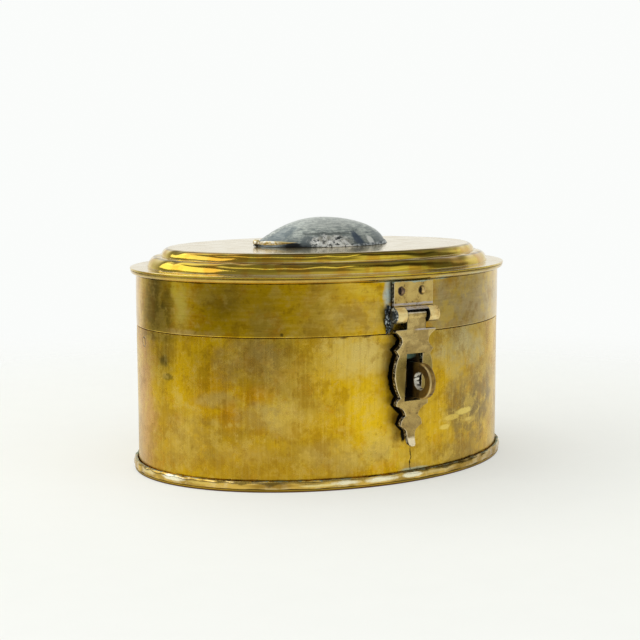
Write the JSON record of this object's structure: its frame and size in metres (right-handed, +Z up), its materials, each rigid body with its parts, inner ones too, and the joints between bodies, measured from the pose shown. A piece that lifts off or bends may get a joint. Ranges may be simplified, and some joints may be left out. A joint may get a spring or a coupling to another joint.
{
  "type": "trinket box",
  "caption": "Oval sheet-brass box with a stepped hinged lid, a domed boss on top, and a hinged hasp that drops over a padlock staple.",
  "frame": {"origin": "centre of the base's flat underside, on the surface that the box stands on", "axes": "+Z up, +X along the oval's long axis, -Y towards the hasp at the front"},
  "size_m": [0.1852, 0.16, 0.1121],
  "materials": {
    "wall_brass": "hand polished, brushed up and down, tarnished olive in patches",
    "polished_brass": "bright polished",
    "fitting_brass": "dull, worn, with dark and green corners",
    "tinned_boss": "tinned over brass, dull grey with dark streaks",
    "solder": "soft solder, lumpy"
  },
  "bodies": {
    "case": {"base_plate": "wall_brass", "base_rim": "wall_brass", "body_wall": "wall_brass", "mouth_bezel": "fitting_brass", "staple": "fitting_brass", "staple_washer": "fitting_brass", "rear_body_leaf": "fitting_brass", "rear_body_rivet_left": "fitting_brass", "rear_body_rivet_right": "fitting_brass", "rear_hinge_pin": "fitting_brass"},
    "lid": {"lid_band": "wall_brass", "lid_top": "polished_brass", "lid_boss": "tinned_boss", "boss_solder": "solder", "rear_lid_leaf": "fitting_brass", "rear_lid_rivet_left": "fitting_brass", "rear_lid_rivet_right": "fitting_brass", "hasp_leaf": "fitting_brass", "hasp_leaf_rivet_left": "fitting_brass", "hasp_leaf_rivet_right": "fitting_brass", "hasp_pin": "fitting_brass"},
    "hasp": {"hasp_plate": "fitting_brass"}
  },
  "joints": [
    {"name": "lid_hinge", "type": "hinge", "parent": "case", "child": "lid", "pos_m": [0, 0.0715, 0.0653], "axis": [-1, 0, 0], "range_deg": [0, 110]},
    {"name": "hasp_hinge", "type": "hinge", "parent": "lid", "child": "hasp", "pos_m": [0, -0.0715, 0.0735], "axis": [-1, 0, 0], "range_deg": [0, 105]}
  ]
}
